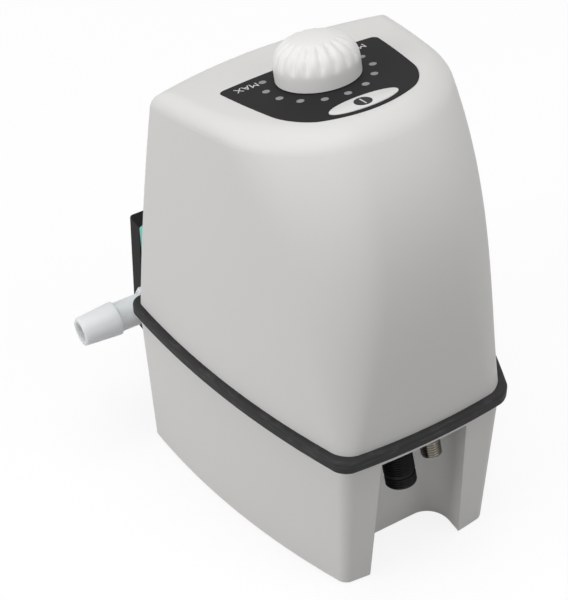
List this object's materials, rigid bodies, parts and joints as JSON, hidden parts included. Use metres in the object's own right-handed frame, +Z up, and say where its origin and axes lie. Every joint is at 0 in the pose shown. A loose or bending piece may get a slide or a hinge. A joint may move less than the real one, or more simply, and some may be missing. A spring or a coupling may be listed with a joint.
{
  "type": "liquid transfer pump",
  "caption": "Bench-top diaphragm pump that draws liquid through side hose nozzles, set by a dial and a key on its sloping top.",
  "frame": {"origin": "centre of the bounding box on the plane that the rubber feet stand on", "axes": "+Z up, -Y toward the pump head at the front, +Y toward the cable recess, X across over both nozzles"},
  "size_m": [0.16, 0.1406, 0.199],
  "materials": {
    "housing_plastic": "satin",
    "seal_rubber": "matt",
    "panel_film": "matt",
    "key_plastic": "satin",
    "knob_plastic": "satin",
    "end_plate_plastic": "satin",
    "head_plastic": "satin",
    "nozzle_plastic": "translucent natural",
    "black_plastic": "satin",
    "connector_metal": "bright nickel",
    "steel": "plain",
    "cast_alloy": "as cast",
    "board": "satin",
    "magnet": "sintered",
    "elastomer": "matt"
  },
  "bodies": {
    "frame": {"lower_housing": "housing_plastic", "upper_housing": "housing_plastic", "housing_seal": "seal_rubber", "neck_gasket": "seal_rubber", "control_panel": "panel_film", "key_switch": "black_plastic", "control_board": "board", "control_board_screws": "steel", "potentiometer_body": "steel", "potentiometer_nut": "steel", "end_plate": "end_plate_plastic", "head_plate": "head_plastic", "middle_plate": "head_plastic", "inlet_valve": "elastomer", "outlet_valve": "elastomer", "diaphragm": "elastomer", "crankcase": "cast_alloy", "head_screws": "steel", "inlet_nozzle": "nozzle_plastic", "outlet_nozzle": "nozzle_plastic", "nozzle_rings": "elastomer", "shaft_bearings": "steel", "motor_can": "steel", "motor_flange": "cast_alloy", "motor_screws": "steel", "motor_magnets": "magnet", "mounting_bracket": "steel", "vibration_mounts": "elastomer", "bracket_screws": "steel", "driver_board": "board", "driver_board_screws": "steel", "power_connector": "black_plastic", "power_insert": "black_plastic", "power_nut": "black_plastic", "signal_connector": "connector_metal", "signal_insert": "black_plastic", "signal_nut": "connector_metal", "housing_screws": "steel", "rubber_feet": "elastomer"},
    "dial": {"speed_knob": "knob_plastic", "potentiometer_spindle": "steel"},
    "key": {"power_key": "key_plastic"},
    "rotor": {"motor_shaft": "steel", "rotor_core": "steel", "eccentric": "steel"},
    "rod": {"connecting_rod": "cast_alloy", "rod_bearing": "steel"}
  },
  "joints": [
    {"name": "speed_dial", "type": "hinge", "parent": "frame", "child": "dial", "pos_m": [0, -0.00737, 0.183], "axis": [0, -0.2462, 0.9692], "range_deg": [-122.75, 122.75]},
    {"name": "key_press", "type": "slide", "parent": "frame", "child": "key", "axis": [0, 0.2462, -0.9692], "range_m": [0, 0.0006], "stiffness_N_per_m": 800, "springref_m": -0.0006},
    {"name": "motor_spin", "type": "hinge", "parent": "frame", "child": "rotor", "pos_m": [0, -0.00428, 0.0676], "axis": [0, 0, 1], "continuous": true},
    {"name": "rod_turn", "type": "hinge", "parent": "rotor", "child": "rod", "pos_m": [0.0015, -0.00428, 0.0676], "axis": [0, 0, 1], "continuous": true}
  ],
  "couplings": [
    {"joint": "rod_turn", "follows": "motor_spin", "ratio": -1}
  ]
}
